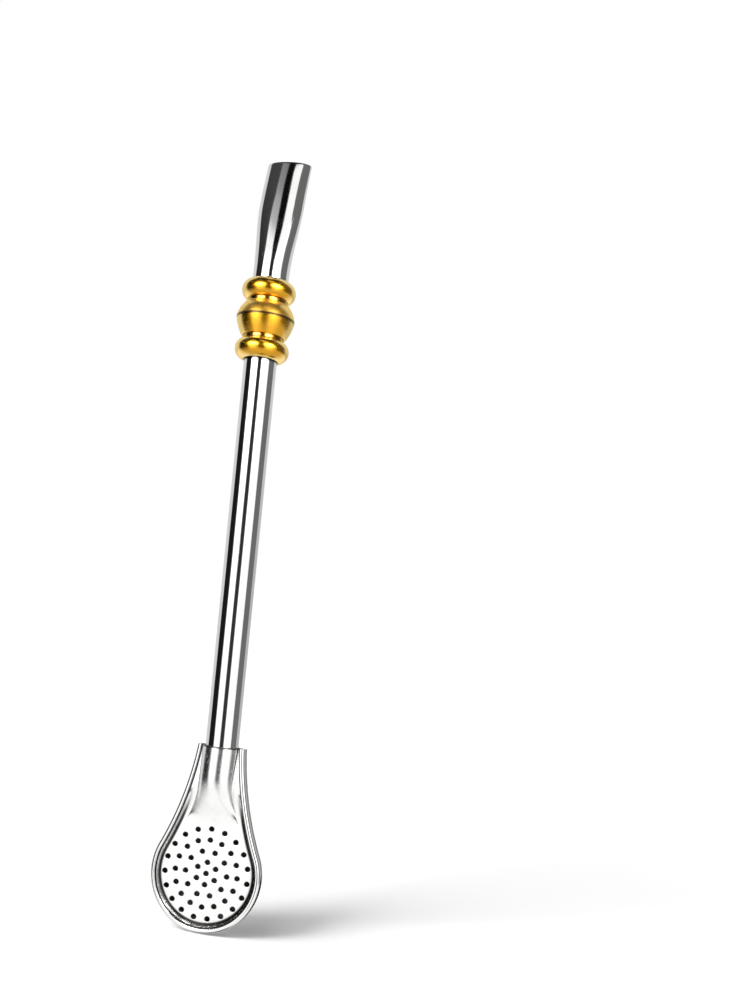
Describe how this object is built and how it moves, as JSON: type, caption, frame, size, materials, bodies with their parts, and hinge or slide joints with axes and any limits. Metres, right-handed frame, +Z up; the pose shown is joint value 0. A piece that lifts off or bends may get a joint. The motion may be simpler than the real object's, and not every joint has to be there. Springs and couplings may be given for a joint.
{
  "type": "bombilla",
  "caption": "Metal bombilla: a mate straw with a hemmed spoon strainer at the foot, gilt turned rings and a flattened, swept-back mouthpiece.",
  "frame": {"origin": "tip of the filter, on the object's plane of symmetry", "axes": "+Z up along the straw, -Y the way the strainer face looks, +X across the filter"},
  "size_m": [0.033, 0.0194, 0.2243],
  "materials": {
    "straw_steel": "polished stainless tube",
    "mouth_steel": "polished stainless tube",
    "filter_steel": "polished stainless sheet",
    "back_steel": "polished stainless sheet",
    "gilt": "polished, gold plated"
  },
  "bodies": {
    "root": {"stem": "straw_steel", "mouthpiece": "mouth_steel", "ferrule_sleeve": "gilt", "top_bead": "gilt", "barrel_upper": "gilt", "barrel_lower": "gilt", "bottom_bead": "gilt", "strainer_plate": "filter_steel", "filter_back": "back_steel"}
  },
  "joints": []
}
